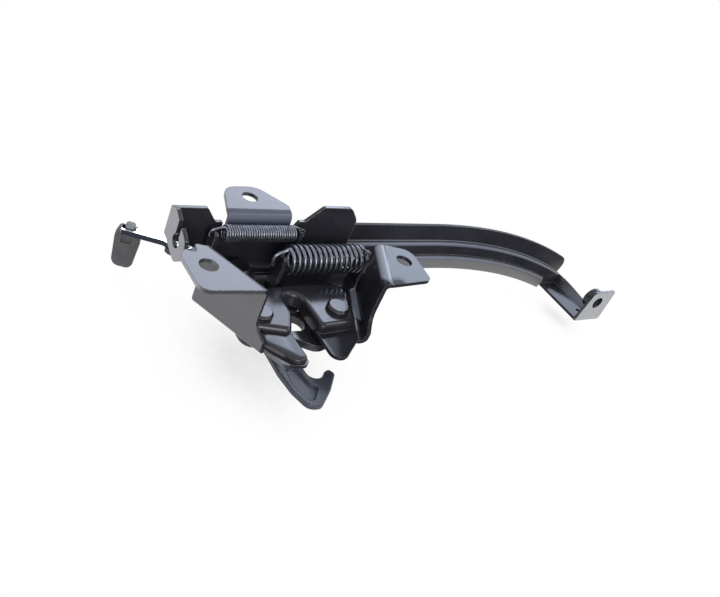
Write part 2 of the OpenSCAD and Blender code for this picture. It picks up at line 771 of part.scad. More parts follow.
module brace() {
    run = brace_bend - brace_x0 + lap;
    color(black_coat) placed() {
        translate([brace_x0, 0, brace_top]) rotate([90, 0, 90]) linear_extrude(run) brace_section(false);
        translate([tab_right + lip_start, 0, brace_top]) rotate([90, 0, 90])
            linear_extrude(brace_run - lip_start + lap) brace_section(true);
        translate([brace_bend, 0, brace_top - brace_r]) rotate(a = -120, v = [1, 1, 1])
            rotate_extrude(angle = brace_sweep, $fn = 360) translate([brace_r, 0]) mirror([1, -1, 0])
                brace_section(true);
        strap();
    }
}

end_r = brace_r - 2 * band_h - sheet_t;
strap_x = brace_bend + end_r * sin(brace_sweep);
strap_z = brace_top - brace_r + end_r * cos(brace_sweep);
strap_y = back_y - strap_reach;
foot_x = strap_x - 6;
foot_hole = [foot_x + foot_w / 2, strap_z + foot_h * 0.62];

module strap() {
    translate([foot_x, strap_y, strap_z]) cube([foot_w * 0.7, strap_reach + 2 * sheet_t, sheet_t]);
    difference() {
        translate([foot_x, strap_y + sheet_t, strap_z]) rotate([90, 0, 0]) linear_extrude(sheet_t)
            polygon(rounded([[0, 0, 0], [foot_w, 0, 2], [foot_w, foot_h, 2], [0, foot_h, 2]]));
        translate([foot_hole[0], strap_y - 1, foot_hole[1]]) rotate([-90, 0, 0])
            cylinder(h = 10, d = foot_hole_d);
    }
}

module weld_nut() {
    nut_h = 6;
    color(black_coat) placed() translate([foot_hole[0], strap_y + sheet_t, foot_hole[1]]) rotate([-90, 0, 0])
        difference() {
            cylinder(h = nut_h, d = 15, $fn = 6);
            translate([0, 0, -1]) cylinder(h = nut_h + 2, d = nut_bore_d);
        }
}

base_plate();
claw();
pawl();
release_lever();
claw_rivet();
pawl_rivet();
safety_rivet();
claw_spring();
pawl_spring();
lever_spring();
safety_spring();
safety_hook();
handle_strip();
handle_rivets();
handle_grip();
brace();
weld_nut();
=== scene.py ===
import math

import bmesh
import bpy
from mathutils import Matrix, Vector
from mathutils.geometry import tessellate_polygon


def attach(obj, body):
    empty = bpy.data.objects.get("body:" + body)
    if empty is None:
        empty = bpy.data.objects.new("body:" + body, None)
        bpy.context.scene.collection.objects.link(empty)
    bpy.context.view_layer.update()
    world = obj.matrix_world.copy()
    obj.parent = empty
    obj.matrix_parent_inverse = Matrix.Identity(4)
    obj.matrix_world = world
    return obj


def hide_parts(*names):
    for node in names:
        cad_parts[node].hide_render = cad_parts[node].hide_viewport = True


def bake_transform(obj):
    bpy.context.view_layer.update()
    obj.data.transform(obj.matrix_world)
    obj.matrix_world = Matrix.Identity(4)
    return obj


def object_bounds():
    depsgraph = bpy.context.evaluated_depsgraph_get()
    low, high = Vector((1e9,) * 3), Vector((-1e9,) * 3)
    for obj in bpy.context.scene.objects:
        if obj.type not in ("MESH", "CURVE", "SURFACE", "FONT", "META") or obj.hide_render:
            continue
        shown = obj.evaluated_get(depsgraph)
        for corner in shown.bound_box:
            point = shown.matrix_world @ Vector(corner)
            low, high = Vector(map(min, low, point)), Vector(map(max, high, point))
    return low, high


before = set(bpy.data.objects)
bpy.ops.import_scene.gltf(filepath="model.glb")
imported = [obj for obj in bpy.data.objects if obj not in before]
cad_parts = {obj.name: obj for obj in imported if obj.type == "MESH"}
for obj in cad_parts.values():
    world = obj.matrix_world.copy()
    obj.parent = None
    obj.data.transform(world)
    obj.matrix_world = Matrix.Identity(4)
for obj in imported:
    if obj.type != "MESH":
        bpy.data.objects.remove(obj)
cad_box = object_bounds()
scene = bpy.context.scene
MM = 0.001


def mm(x, y, z):
    """A point of the source's drawing, whose floor is at Z 0, in the row frame in metres."""
    return Vector((x, y - 15, z - 33)) * MM


# Materials


def node(tree, kind, inputs=None, **props):
    n = tree.nodes.new(kind)
    for key, value in props.items():
        setattr(n, key, value)
    for key, value in (inputs or {}).items():
        if hasattr(value, "is_linked"):
            tree.links.new(value, n.inputs[key])
        else:
            n.inputs[key].default_value = value
    return n


def new_material(name):
    mat = bpy.data.materials.new(name)
    mat.use_nodes = True
    tree = mat.node_tree
    return mat, tree, tree.nodes["Principled BSDF"]


def math_node(tree, operation, a, b):
    return node(tree, "ShaderNodeMath", {0: a, 1: b}, operation=operation).outputs[0]


def grey(v):
    return (v, v, v)


def ramp(tree, source, stops):
    n = tree.nodes.new("ShaderNodeValToRGB")
    while len(n.color_ramp.elements) < len(stops):
        n.color_ramp.elements.new(0.5)
    for element, (at, colour) in zip(n.color_ramp.elements, stops):
        element.position = at
        element.color = (*colour, 1)
    tree.links.new(source, n.inputs["Fac"])
    return n.outputs["Color"]


def object_coords(tree):
    return node(tree, "ShaderNodeTexCoord").outputs["Object"]


def noise(tree, scale, detail=4, rough=0.55):
    return node(tree, "ShaderNodeTexNoise", {"Vector": object_coords(tree), "Scale": scale, "Detail": detail,
                                             "Roughness": rough}).outputs["Fac"]


def blend_colour(tree, share, a, b):
    n = node(tree, "ShaderNodeMix", data_type="RGBA")
    for i, value in ((0, share), (6, a), (7, b)):
        if hasattr(value, "is_linked"):
            tree.links.new(value, n.inputs[i])
        else:
            n.inputs[i].default_value = value if i == 0 else (*value, 1)
    return n.outputs[2]


def rounded_normal(tree, radius):
    return node(tree, "ShaderNodeBevel", {"Radius": radius}, samples=6).outputs["Normal"]


def edge_share(tree, normal):
    """1 along the edges, where the coat paints a highlight and wear, 0 on open faces: how far the rounded normal leans
    from the face's own.
    """
    face = node(tree, "ShaderNodeNewGeometry").outputs["Normal"]
    lean = node(tree, "ShaderNodeVectorMath", {0: normal, 1: face}, operation="DOT_PRODUCT").outputs["Value"]
    return node(tree, "ShaderNodeMapRange", {"Value": lean, "From Min": 0.97,
                                             "From Max": 0.8}).outputs["Result"]


def specks(tree, scale, size):
    cells = node(tree, "ShaderNodeTexVoronoi", {"Vector": object_coords(tree), "Scale": scale})
    return node(tree, "ShaderNodeMapRange", {"Value": cells.outputs["Distance"], "From Min": size,
                                             "From Max": size * 0.6}).outputs["Result"]


def zone(tree, axis, low, high, soft=0.0006):
    """1 where the piece lies between two places along an axis, in metres."""
    at = node(tree, "ShaderNodeSeparateXYZ", {0: object_coords(tree)}).outputs["XYZ".index(axis)]
    above = node(tree, "ShaderNodeMapRange", {"Value": at, "From Min": low - soft, "From Max": low + soft})
    below = node(tree, "ShaderNodeMapRange", {"Value": at, "From Min": high + soft, "From Max": high - soft})
    return math_node(tree, "MULTIPLY", above.outputs["Result"], below.outputs["Result"])


def facing(tree, direction, least=0.8):
    """1 on faces that look along a direction."""
    face = node(tree, "ShaderNodeNewGeometry").outputs["Normal"]
    dot = node(tree, "ShaderNodeVectorMath", {0: face, 1: direction}, operation="DOT_PRODUCT").outputs["Value"]
    return node(tree, "ShaderNodeMapRange", {"Value": dot, "From Min": least - 0.08,
                                             "From Max": least + 0.08}).outputs["Result"]


def coat(name, dark, light, rough, ior, peel, chip_and_highlight=(0.5, 0.5, 0.52), dust=0.05, pale=None, grease_and_shade=None):
    """Dip coat over steel: uneven gloss, slight orange peel, rounded edges that carry a painted highlight all along
    and lighter wear in patches, a few dust specks.
    pale gives (share, colour, roughness) layers that paint chosen faces paler, mostly as painted highlight and
    reflection, and the last argument the share of each face whose shine is dulled, by grease and in inner corners as
    painted shade."""
    mat, tree, bsdf = new_material(name)
    broad = noise(tree, 38, 5)
    normal = rounded_normal(tree, 0.0005)
    colour = ramp(tree, broad, [(0.3, dark), (0.75, light)])
    gloss = ramp(tree, broad, [(0.3, grey(rough[0])), (0.8, grey(rough[1]))])
    for share, tint, dull in (pale(tree) if pale else []):
        colour = blend_colour(tree, share, colour, tint)
        gloss = blend_colour(tree, share, gloss, grey(dull))
    # Painted highlight: every edge is lightened at least a fifth towards the chip colour, and more where the noise
    # marks wear.
    wear_and_edge_highlight = ramp(tree, noise(tree, 260, 6, 0.7), [(0.56, grey(0.2)), (0.61, grey(0.85))])
    edge_wear_and_highlight = math_node(tree, "MULTIPLY", edge_share(tree, normal), wear_and_edge_highlight)
    colour = blend_colour(tree, edge_wear_and_highlight, colour, chip_and_highlight)
    few = ramp(tree, noise(tree, 120, 2), [(0.55, grey(0)), (0.7, grey(1))])
    spots = math_node(tree, "MULTIPLY", specks(tree, 700, 0.1), few)
    colour = blend_colour(tree, math_node(tree, "MULTIPLY", spots, dust), colour, (0.7, 0.7, 0.72))
    bump = node(tree, "ShaderNodeBump", {"Strength": peel, "Distance": 0.0002, "Height": noise(tree, 1500, 3),
                                         "Normal": normal})
    for key, value in (("Base Color", colour), ("Roughness", gloss), ("Normal", bump.outputs["Normal"])):
        tree.links.new(value, bsdf.inputs[key])
    bsdf.inputs["IOR"].default_value = ior
    if grease_and_shade:
        shine = ramp(tree, grease_and_shade(tree), [(0, grey(0.5)), (1, grey(0.06))])
        tree.links.new(shine, bsdf.inputs["Specular IOR Level"])
    return mat


# Painted light on the base: painted reflection on the left wall's outer face and the left flange, painted highlights
# along the right ear's fold and the top ear's fold band.
def base_painted_light(tree):
    wall = math_node(tree, "MULTIPLY", facing(tree, (-0.907, -0.421, 0), 0.94), zone(tree, "X", -0.07, -0.02))
    flange = math_node(tree, "MULTIPLY", facing(tree, (-1, 0, 0), 0.97), zone(tree, "X", -0.07, -0.0575))
    fold_highlight = math_node(tree, "MULTIPLY", facing(tree, (-0.707, 0, 0.707), 0.8), zone(tree, "X", 0.036, 0.06))
    brow_highlight = math_node(tree, "MULTIPLY", facing(tree, (0, -0.8, 0.6), 0.75), zone(tree, "Z", -0.011, 0.004))
    brow_highlight = math_node(tree, "MULTIPLY", brow_highlight, zone(tree, "X", -0.03, 0.01))
    return [(wall, (0.15, 0.145, 0.152), 0.36), (flange, (0.5, 0.5, 0.52), 0.4), (fold_highlight, (0.3, 0.32, 0.38), 0.3),
            (brow_highlight, (0.085, 0.095, 0.135), 0.3)]


def base_grease(tree):
    """Light film on the floor of the dish, heavier on the right lobe where the striker runs in."""
    dish = math_node(tree, "MULTIPLY", zone(tree, "Z", -0.04, -0.02, 0.002), 0.34)
    lobe = math_node(tree, "MULTIPLY", zone(tree, "X", 0.007, 0.045, 0.002),
                     zone(tree, "Y", -0.05, -0.014, 0.002))
    ear = math_node(tree, "MULTIPLY", zone(tree, "Y", 0.041, 0.07), 0.3)
    wall = math_node(tree, "MULTIPLY", facing(tree, (-0.907, 0.421, 0), 0.94), zone(tree, "X", 0.02, 0.06))
    film = math_node(tree, "MAXIMUM", math_node(tree, "MAXIMUM", dish, lobe), ear)
    return math_node(tree, "MAXIMUM", film, math_node(tree, "MULTIPLY", wall, 0.75))


# Painted highlights along the band's folds; the front faces of the lip and the foot, and the strap's turned-up side,
# are painted paler grey.
def brace_pale_and_highlights(tree):
    lip = math_node(tree, "MULTIPLY", facing(tree, (0, -1, 0), 0.9), zone(tree, "Y", 0.037, 0.0393))
    foot = math_node(tree, "MULTIPLY", facing(tree, (0, -1, 0), 0.9), zone(tree, "Y", 0.002, 0.0045))
    fold_highlight = math_node(tree, "MULTIPLY", facing(tree, (0, -0.707, 0.707), 0.95), zone(tree, "X", 0.03, 0.27))
    side = math_node(tree, "MULTIPLY", facing(tree, (-0.457, 0, 0.889), 0.96), zone(tree, "X", 0.2605, 0.28))
    return [(lip, (0.17, 0.165, 0.165), 0.38), (foot, grey(0.88), 0.42),
            (fold_highlight, (0.14, 0.155, 0.215), 0.3), (side, (0.13, 0.14, 0.165), 0.35)]


def brace_edge(tree):
    """The cut top edge and the strap are left matt."""
    edge = math_node(tree, "MULTIPLY", facing(tree, (0.2, 0, 0.98), 0.85), zone(tree, "Y", 0.0449, 0.0475))
    strap = math_node(tree, "MULTIPLY", zone(tree, "Z", -0.06, -0.0562), zone(tree, "X", 0.244, 0.28))
    return math_node(tree, "MAXIMUM", edge, math_node(tree, "MULTIPLY", strap, 0.78))


def corner_shade(tree):
    """Painted shade: the shine is dulled in inner corners, found by ambient occlusion, to darken them."""
    open_share = node(tree, "ShaderNodeAmbientOcclusion", {"Distance": 0.0025}, samples=8).outputs["AO"]
    return node(tree, "ShaderNodeMapRange", {"Value": open_share, "From Min": 0.9,
                                             "From Max": 0.45}).outputs["Result"]


BLACK = ((0.017, 0.017, 0.022), (0.028, 0.028, 0.034))
black_coat = coat("black_coat", *BLACK, (0.13, 0.2), 1.5, 0.05)
base_coat = coat("base_coat", *BLACK, (0.13, 0.2), 1.5, 0.04, pale=base_painted_light, grease_and_shade=base_grease)
brace_coat = coat("brace_coat", *BLACK, (0.15, 0.22), 1.5, 0.04, pale=brace_pale_and_highlights, grease_and_shade=brace_edge)
hook_coat = coat("hook_coat", (0.035, 0.039, 0.054), (0.055, 0.06, 0.08), (0.26, 0.36), 1.4, 0.06,
                 grease_and_shade=corner_shade)
under_coat = coat("under_coat", *BLACK, (0.5, 0.6), 1.2, 0.05)
rivet_coat = coat("rivet_coat", (0.008, 0.008, 0.012), (0.02, 0.02, 0.025), (0.16, 0.26), 1.5, 0.06)

wire, tree, bsdf = new_material("spring_wire")
steel = ramp(tree, noise(tree, 420), [(0.3, (0.11, 0.116, 0.14)), (0.7, (0.22, 0.23, 0.27))])
tree.links.new(steel, bsdf.inputs["Base Color"])
tree.links.new(ramp(tree, noise(tree, 900), [(0.3, grey(0.22)), (0.7, grey(0.38))]), bsdf.inputs["Roughness"])
bsdf.inputs["Metallic"].default_value = 0.9

zinc, tree, bsdf = new_material("bright_zinc")
bright = ramp(tree, noise(tree, 260), [(0.3, (0.62, 0.63, 0.66)), (0.7, (0.76, 0.77, 0.79))])
# Painted reflection: the strip's side that faces the front is painted near black, for the dark that it mirrors.
painted_dark_side = facing(tree, (-0.457, -0.89, 0), 0.75)
tree.links.new(blend_colour(tree, painted_dark_side, bright, (0.035, 0.04, 0.055)), bsdf.inputs["Base Color"])
tree.links.new(ramp(tree, noise(tree, 700), [(0.3, grey(0.2)), (0.7, grey(0.34))]), bsdf.inputs["Roughness"])
tree.links.new(rounded_normal(tree, 0.0003), bsdf.inputs["Normal"])
bsdf.inputs["Metallic"].default_value = 1.0

plastic, tree, bsdf = new_material("grip_plastic")
moulding = ramp(tree, noise(tree, 150), [(0.3, (0.052, 0.05, 0.054)), (0.7, (0.074, 0.071, 0.076))])
# The cap above the strip is painted light grey.
light_cap = zone(tree, "Z", -0.0415, 0, 0.001)
tree.links.new(blend_colour(tree, light_cap, moulding, (0.22, 0.23, 0.25)), bsdf.inputs["Base Color"])
grain = node(tree, "ShaderNodeBump", {"Strength": 0.2, "Distance": 0.0002, "Height": noise(tree, 2600, 2),
                                      "Normal": rounded_normal(tree, 0.0008)})
tree.links.new(grain.outputs["Normal"], bsdf.inputs["Normal"])
bsdf.inputs["Roughness"].default_value = 0.5

LOOK = {
    "base_plate": base_coat, "brace": brace_coat, "weld_nut": rivet_coat,
    "claw": black_coat, "pawl": black_coat, "release_lever": black_coat,
    "claw_rivet": rivet_coat, "pawl_rivet": rivet_coat, "safety_rivet": rivet_coat,
    "safety_hook": hook_coat, "handle_strip": zinc, "handle_rivets": zinc, "handle_grip": plastic,
    "claw_spring": wire, "pawl_spring": wire, "lever_spring": wire, "safety_spring": wire}
for name, mat in LOOK.items():
    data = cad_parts[name].data
    data.materials.clear()
    data.materials.append(mat)

# Springs: round wire swept along each spring's path


def wire_nodes():
    tree = bpy.data.node_groups.new("wire_along_path", "GeometryNodeTree")
    face = tree.interface
    face.new_socket("Path", in_out="INPUT", socket_type="NodeSocketGeometry")
    radius = face.new_socket("Radius", in_out="INPUT", socket_type="NodeSocketFloat")
    finish = face.new_socket("Finish", in_out="INPUT", socket_type="NodeSocketMaterial")
    face.new_socket("Wire", in_out="OUTPUT", socket_type="NodeSocketGeometry")
    given = tree.nodes.new("NodeGroupInput")
    ring = node(tree, "GeometryNodeCurvePrimitiveCircle", {"Resolution": 14, "Radius": given.outputs[1]})
    curve = node(tree, "GeometryNodeMeshToCurve", {"Mesh": given.outputs[0]})
    sweep = node(tree, "GeometryNodeCurveToMesh", {"Curve": curve.outputs[0], "Profile Curve": ring.outputs[0],
                                                   "Fill Caps": True})
    smooth = node(tree, "GeometryNodeSetShadeSmooth", {"Geometry": sweep.outputs[0]})
    real = node(tree, "GeometryNodeRealizeInstances", {"Geometry": smooth.outputs[0]})
    painted = node(tree, "GeometryNodeSetMaterial", {"Geometry": real.outputs[0], "Material": given.outputs[2]})
    out = tree.nodes.new("NodeGroupOutput")
    tree.links.new(painted.outputs[0], out.inputs[0])
    return tree, radius.identifier, finish.identifier


WIRE = wire_nodes()


def wire_piece(name, path, diameter):
    tree, radius, finish = WIRE
    mesh = bpy.data.meshes.new(name)
    mesh.from_pydata([tuple(p) for p in path], [(i, i + 1) for i in range(len(path) - 1)], [])
    obj = bpy.data.objects.new(name + "_wire", mesh)
    scene.collection.objects.link(obj)
    mod = obj.modifiers.new("wire", "NODES")
    mod.node_group = tree
    mod[radius] = diameter * MM / 2
    mod[finish] = wire
    seen = obj.evaluated_get(bpy.context.evaluated_depsgraph_get())
    obj.data = bpy.data.meshes.new_from_object(seen)
    obj.modifiers.clear()
    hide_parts(name)
    return obj


def eased(points, first, last, rounds=6):
    """Takes the kinks out of a stretch of the path, which the wire's own stiffness would not have."""
    points = [Vector(p) for p in points]
    for _ in range(rounds):
        points = [points[i] if not first <= i <= last else (points[i - 1] + 2 * points[i] + points[i + 1]) / 4
                  for i in range(len(points))]
    return points


def straight(a, b, count):
    return [a.lerp(b, (i + 1) / (count + 1)) for i in range(count)]


def pull_spring(name, y, z, r, d, turns, coil, lugs, loops):
    """Hook over the left lug, close coil, hook over the right lug."""
    hooks = []
    for x, radius, side in ((lugs[0], loops[0], 1), (lugs[1], loops[1], -1)):
        angles = [math.radians(a) for a in range(90, 226, 9)]
        hooks.append([mm(x + side * radius * math.cos(a), y, z + radius * math.sin(a)) for a in angles])
    count = turns * 32
    turned = [mm(coil[0] + (coil[1] - coil[0]) * i / count, y + r * math.cos(math.pi / 2 + math.tau * i / 32),
                 z + r * math.sin(math.pi / 2 + math.tau * i / 32)) for i in range(count + 1)]
    left = hooks[0][::-1]
    lead_in = straight(left[-1], turned[0], 8)
    lead_out = straight(turned[-1], hooks[1][0], 8)
    path = left + lead_in + turned + lead_out + hooks[1]
    path = eased(path, len(left) - 3, len(left) + 10)
    path = eased(path, len(path) - len(hooks[1]) - 11, len(path) - len(hooks[1]) + 2)
    obj = wire_piece(name, path, d)
    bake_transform(obj)


def torsion_spring(name, at, r, low, high, start, turns, leg, d):
    count = int(turns * 32)
    angles = [math.radians(start) + math.tau * i / 32 for i in range(count + 1)]
    turned = [mm(at[0] + r * math.cos(a), at[1] + r * math.sin(a), low + (high - low) * i / count)
              for i, a in enumerate(angles)]
    a, b = angles[0], angles[-1]
    first = mm(at[0] + r * math.cos(a) + leg * math.sin(a), at[1] + r * math.sin(a) - leg * math.cos(a), low)
    last = mm(at[0] + r * math.cos(b) - leg * math.sin(b), at[1] + r * math.sin(b) + leg * math.cos(b), high)
    obj = wire_piece(name, [first] + turned + [last], d)
    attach(obj, "base")


pull_spring("pawl_spring", 40, 15.5, 7, 2, 14, (3, 49), (0, 52), (4.6, 4.6))
pull_spring("lever_spring", 50, 24.5, 3.9, 1.1, 30, (-31, 9.5), (-36, 13.5), (2.4, 2.4))
torsion_spring("claw_spring", (22.5, 11), 6.6, -1.4, 2.6, 200, 2.5, 3, 1.2)
torsion_spring("safety_spring", (-19, 45), 6.6, -10.7, -5.3, 60, 3, 9, 1.2)

# Formed pieces: the solids' forms with the rounded folds, presses and mouldings that the drawing leaves plain


def rounded(corners, steps=6):
    """Outline through corners (x, y, radius)."""
    out = []
    for i, (x, y, r) in enumerate(corners):
        p = Vector((x, y))
        u = (Vector(corners[i - 1][:2]) - p).normalized()
        v = (Vector(corners[(i + 1) % len(corners)][:2]) - p).normalized()
        half = u.angle(v) / 2
        if r == 0 or half > 1.55:
            out.append(p)
            continue
        centre = p + (u + v).normalized() * r / math.sin(half)
        first, last = p + u * r / math.tan(half) - centre, p + v * r / math.tan(half) - centre
        turn = math.pi - 2 * half
        for k in range(steps + 1):
            t = turn * k / steps
            out.append(centre + (first * math.sin(turn - t) + last * math.sin(t)) / math.sin(turn))
    return out


def circle(x, y, r, count=28):
    return [Vector((x + r * math.cos(math.tau * i / count), y + r * math.sin(math.tau * i / count)))
            for i in range(count)]


def inset(ring, d):
    """Outline moved inwards, for rounded edges."""
    area = sum(ring[i - 1].x * p.y - p.x * ring[i - 1].y for i, p in enumerate(ring))
    out = []
    for i, p in enumerate(ring):
        along = (ring[(i + 1) % len(ring)] - ring[i - 1]).normalized()
        out.append(p + Vector((-along.y, along.x)) * (d if area > 0 else -d))
    return out


class Skin:
    """Faces of one piece, collected in the drawing's millimetres."""

    def __init__(self):
        self.points = []
        self.faces = []

    def add(self, points):
        self.points += points
        return len(self.points) - len(points)

    def cap(self, place, outer, holes, z):
        rings = (outer, *holes)
        start = self.add([place(p.x, p.y, z) for ring in rings for p in ring])
        tris = tessellate_polygon([[Vector((p.x, p.y, 0)) for p in ring] for ring in rings])
        self.faces += [tuple(start + i for i in tri) for tri in tris]

    def loft(self, loops):
        count = len(loops[0])
        start = self.add([p for loop in loops for p in loop])
        for k in range(len(loops) - 1):
            for i in range(count):
                a, b = start + k * count, start + (k + 1) * count
                j = (i + 1) % count
                self.faces.append((a + i, a + j, b + j, b + i))

    def wall(self, place, ring, z0, z1):
        self.loft([[place(p.x, p.y, z) for p in ring] for z in (z0, z1)])

    def plate(self, place, outer, holes, z0, z1):
        for z in (z0, z1):
            self.cap(place, outer, holes, z)
        for ring in (outer, *holes):
            self.wall(place, ring, z0, z1)

    def lathe(self, place, profile, count=32):
        """Turned form: profile (radius, height) round the axis of place."""
        loops = [[place(r * math.cos(math.tau * i / count), r * math.sin(math.tau * i / count), h)
                  for i in range(count)] for r, h in profile]
        self.loft(loops)

    def piece(self, name, mat, slot, body, *nodes):
        mesh = bpy.data.meshes.new(name)
        mesh.from_pydata([tuple(mm(*p)) for p in self.points], [], self.faces)
        work = bmesh.new()
        work.from_mesh(mesh)
        bmesh.ops.remove_doubles(work, verts=work.verts, dist=2e-6)
        bmesh.ops.recalc_face_normals(work, faces=work.faces)
        work.to_mesh(mesh)
        work.free()
        mesh.shade_smooth()
        mesh.set_sharp_from_angle(angle=math.radians(32))
        mesh.materials.append(mat)
        obj = bpy.data.objects.new(name, mesh)
        scene.collection.objects.link(obj)
        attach(obj, body)
        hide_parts(*nodes)


def flat(x, y, z):
    """Place of an outline drawn in plan."""
    return (x, y, z)


def upright(x, z, y):
    """Place of an outline drawn as seen from the front."""
    return (x, y, z)


def stacked(levels):
    """Loops in plan for a loft, from (outline, height) pairs."""
    return [[(p.x, p.y, z) for p in ring] for ring, z in levels]


# Pawl: the tail of its plate, which shows dark through the window behind the spring lug

PAWL_Z = (-8.75, -4.85)
skin = Skin()
skin.plate(flat, rounded([(-6, 41, 1), (9, 42, 3), (11, 55, 4), (-3, 57, 4)]), [], *PAWL_Z)
skin.piece("pawl_tail", under_coat, "black_coat", "pawl")

# Base: the thumb pressed up from the left lobe, beside the slot

THUMB_H, THUMB_EDGE, THUMB_SINK = 2.6, 1.4, 0.3
thumb = rounded([
    (-15.5, -19, 4.5), (-8.9, -18.6, 3.4), (-9.2, -2, 3), (-10.8, 3.6, 1), (-26, 3.6, 1), (-26.6, -5.5, 3)])
edge_turn = [math.radians(a) for a in (0, 30, 60, 90)]
rise = [(inset(thumb, 0), -THUMB_SINK)] + [
    (inset(thumb, THUMB_EDGE * (1 - math.cos(a))), THUMB_H - THUMB_EDGE + THUMB_EDGE * math.sin(a))
    for a in edge_turn]
skin = Skin()
skin.loft(stacked(rise))
for ring, z in (rise[0], rise[-1]):
    skin.cap(flat, ring, [], z)
skin.piece("base_thumb", base_coat, "black_coat", "base")

# Safety lever: pressed recess in the hook's face, tail for the handle

HOOK_Z = -11.6
HOOK_T = 3
HOOK_EDGE = 0.5
RECESS_DEPTH, RECESS_ROLL, RECESS_TAPER = 1.6, 0.4, 0.35
TAIL = Vector((-37, 89.6))
TAIL_L, TAIL_RIM = 13.5, 0.7
ALONG = Vector((-18.5, 9.5)).normalized()
ASIDE = Vector((-ALONG.y, ALONG.x))
ROOT = TAIL - TAIL_L * ALONG
ROOT_W = 7.4
PIVOT_BORE = (-19, 45, 4.55)
RIVETS_AT = (3.5, 10)
RIVET_HOLE_R = 2.05


def on_strip(x, y, z):
    p = ROOT + ALONG * x + ASIDE * y
    return (p.x, p.y, HOOK_Z + z)


def tail_corner(s, side, r):
    p = ROOT + ALONG * s - ASIDE * side * (ROOT_W / 2 + TAIL_RIM)
    return (p.x, p.y, r)


hook_outline = rounded([
    (-17.2, 2, 10), (-17.6, -12, 14), (-16.2, -24, 16), (-12.6, -35, 5.5), (-5.6, -35.8, 5), (4.2, -26.8, 12),
    (12.5, -16.8, 2), (10.6, -13.2, 1.6), (7.4, -14.4, 1.4), (3.4, -18.4, 4.4), (-2.8, -17.8, 4.2),
    (-3.2, -6, 14), (-6, 12, 20), (-10.5, 41, 8), (-10.5, 53, 8), (-15.5, 70, 20), tail_corner(-1.5, 1, 4),
    tail_corner(TAIL_L, 1, 3), tail_corner(TAIL_L, -1, 3), (-31, 76, 12), (-30, 55, 14), (-27.5, 39, 8),
    (-17, 18, 20)])
recess = rounded([(-12.8, -9, 2.4), (-14, -20, 6), (-11.2, -31, 2.6), (-8, -31.6, 1.6), (-1, -23.6, 1.8),
                  (-5, -20.6, 4), (-7, -9, 2.4)])
bores = [circle(*PIVOT_BORE)] + [circle(*(ROOT + ALONG * s), RIVET_HOLE_R, 18) for s in RIVETS_AT]
low_z, top_z = HOOK_Z - HOOK_T, HOOK_Z
soft_outline = inset(hook_outline, HOOK_EDGE)
soft_recess = inset(recess, -HOOK_EDGE)
deep_recess = inset(recess, RECESS_TAPER)
skin = Skin()
skin.cap(flat, soft_outline, bores, low_z)
skin.cap(flat, soft_outline, [soft_recess] + bores, top_z)
skin.cap(flat, deep_recess, [], top_z - RECESS_DEPTH)
skin.loft(stacked([(soft_outline, low_z), (hook_outline, low_z + HOOK_EDGE), (hook_outline, top_z - HOOK_EDGE),
                   (soft_outline, top_z)]))
skin.loft(stacked([(soft_recess, top_z), (recess, top_z - RECESS_ROLL), (deep_recess, top_z - RECESS_DEPTH)]))
for ring in bores:
    skin.wall(flat, ring, low_z, top_z)
skin.piece("safety_hook_formed", hook_coat, "hook_coat", "safety_lever", "safety_hook")

# Handle: bright strip on two rivets, moulded grip with a cap over the strip and a window in front

STRIP_W, STRIP_T, STRIP_L = 5, 3, 37.5
ROOT_END, NECK = 13.2, 15
GRIP_L, GRIP_H, GRIP_OVERLAP, GRIP_EDGE = 12.5, 24, 10.5, 1.2
CAP_H, CAP_FRONT, WINDOW_DEPTH = 2.3, 0.6, 1.2
strip_outline = rounded([
    (0, -ROOT_W / 2, 3), (ROOT_END, -ROOT_W / 2, 2), (NECK, -STRIP_W / 2, 2), (STRIP_L, -STRIP_W / 2, 0.6),
    (STRIP_L, STRIP_W / 2, 0.6), (NECK, STRIP_W / 2, 2), (ROOT_END, ROOT_W / 2, 2), (0, ROOT_W / 2, 3)])
skin = Skin()
skin.plate(on_strip, strip_outline, [circle(s, 0, RIVET_HOLE_R, 18) for s in RIVETS_AT], 0, STRIP_T)
skin.piece("handle_strip_formed", zinc, "bright_zinc", "safety_lever", "handle_strip")

skin = Skin()
for s in RIVETS_AT:
    skin.lathe(lambda x, y, z, s=s: on_strip(s + x, y, z), [
        (0, -HOOK_T - 1), (2.4, -HOOK_T - 1), (3, -HOOK_T - 0.6), (3.1, -HOOK_T), (2, -HOOK_T), (2, STRIP_T),
        (3.1, STRIP_T), (2.9, STRIP_T + 0.6), (2.3, STRIP_T + 1), (0, STRIP_T + 1.1)])
skin.piece("handle_rivets_formed", zinc, "bright_zinc", "safety_lever", "handle_rivets")


def on_grip(x, z, y):
    return on_strip(STRIP_L - GRIP_OVERLAP + x, y, z)


def moulded(skin, ring, back, front, holes):
    """Block with rounded edges, between two faces across the strip."""
    steps = [(GRIP_EDGE, 0), (0.35, 0.35), (0, GRIP_EDGE)]
    levels = [(d, back + h) for d, h in steps] + [(d, front - h) for d, h in steps[::-1]]
    skin.loft([[on_grip(p.x, p.y, y) for p in inset(ring, d)] for d, y in levels])
    skin.cap(on_grip, inset(ring, GRIP_EDGE), [], back)
    skin.cap(on_grip, inset(ring, GRIP_EDGE), holes, front)


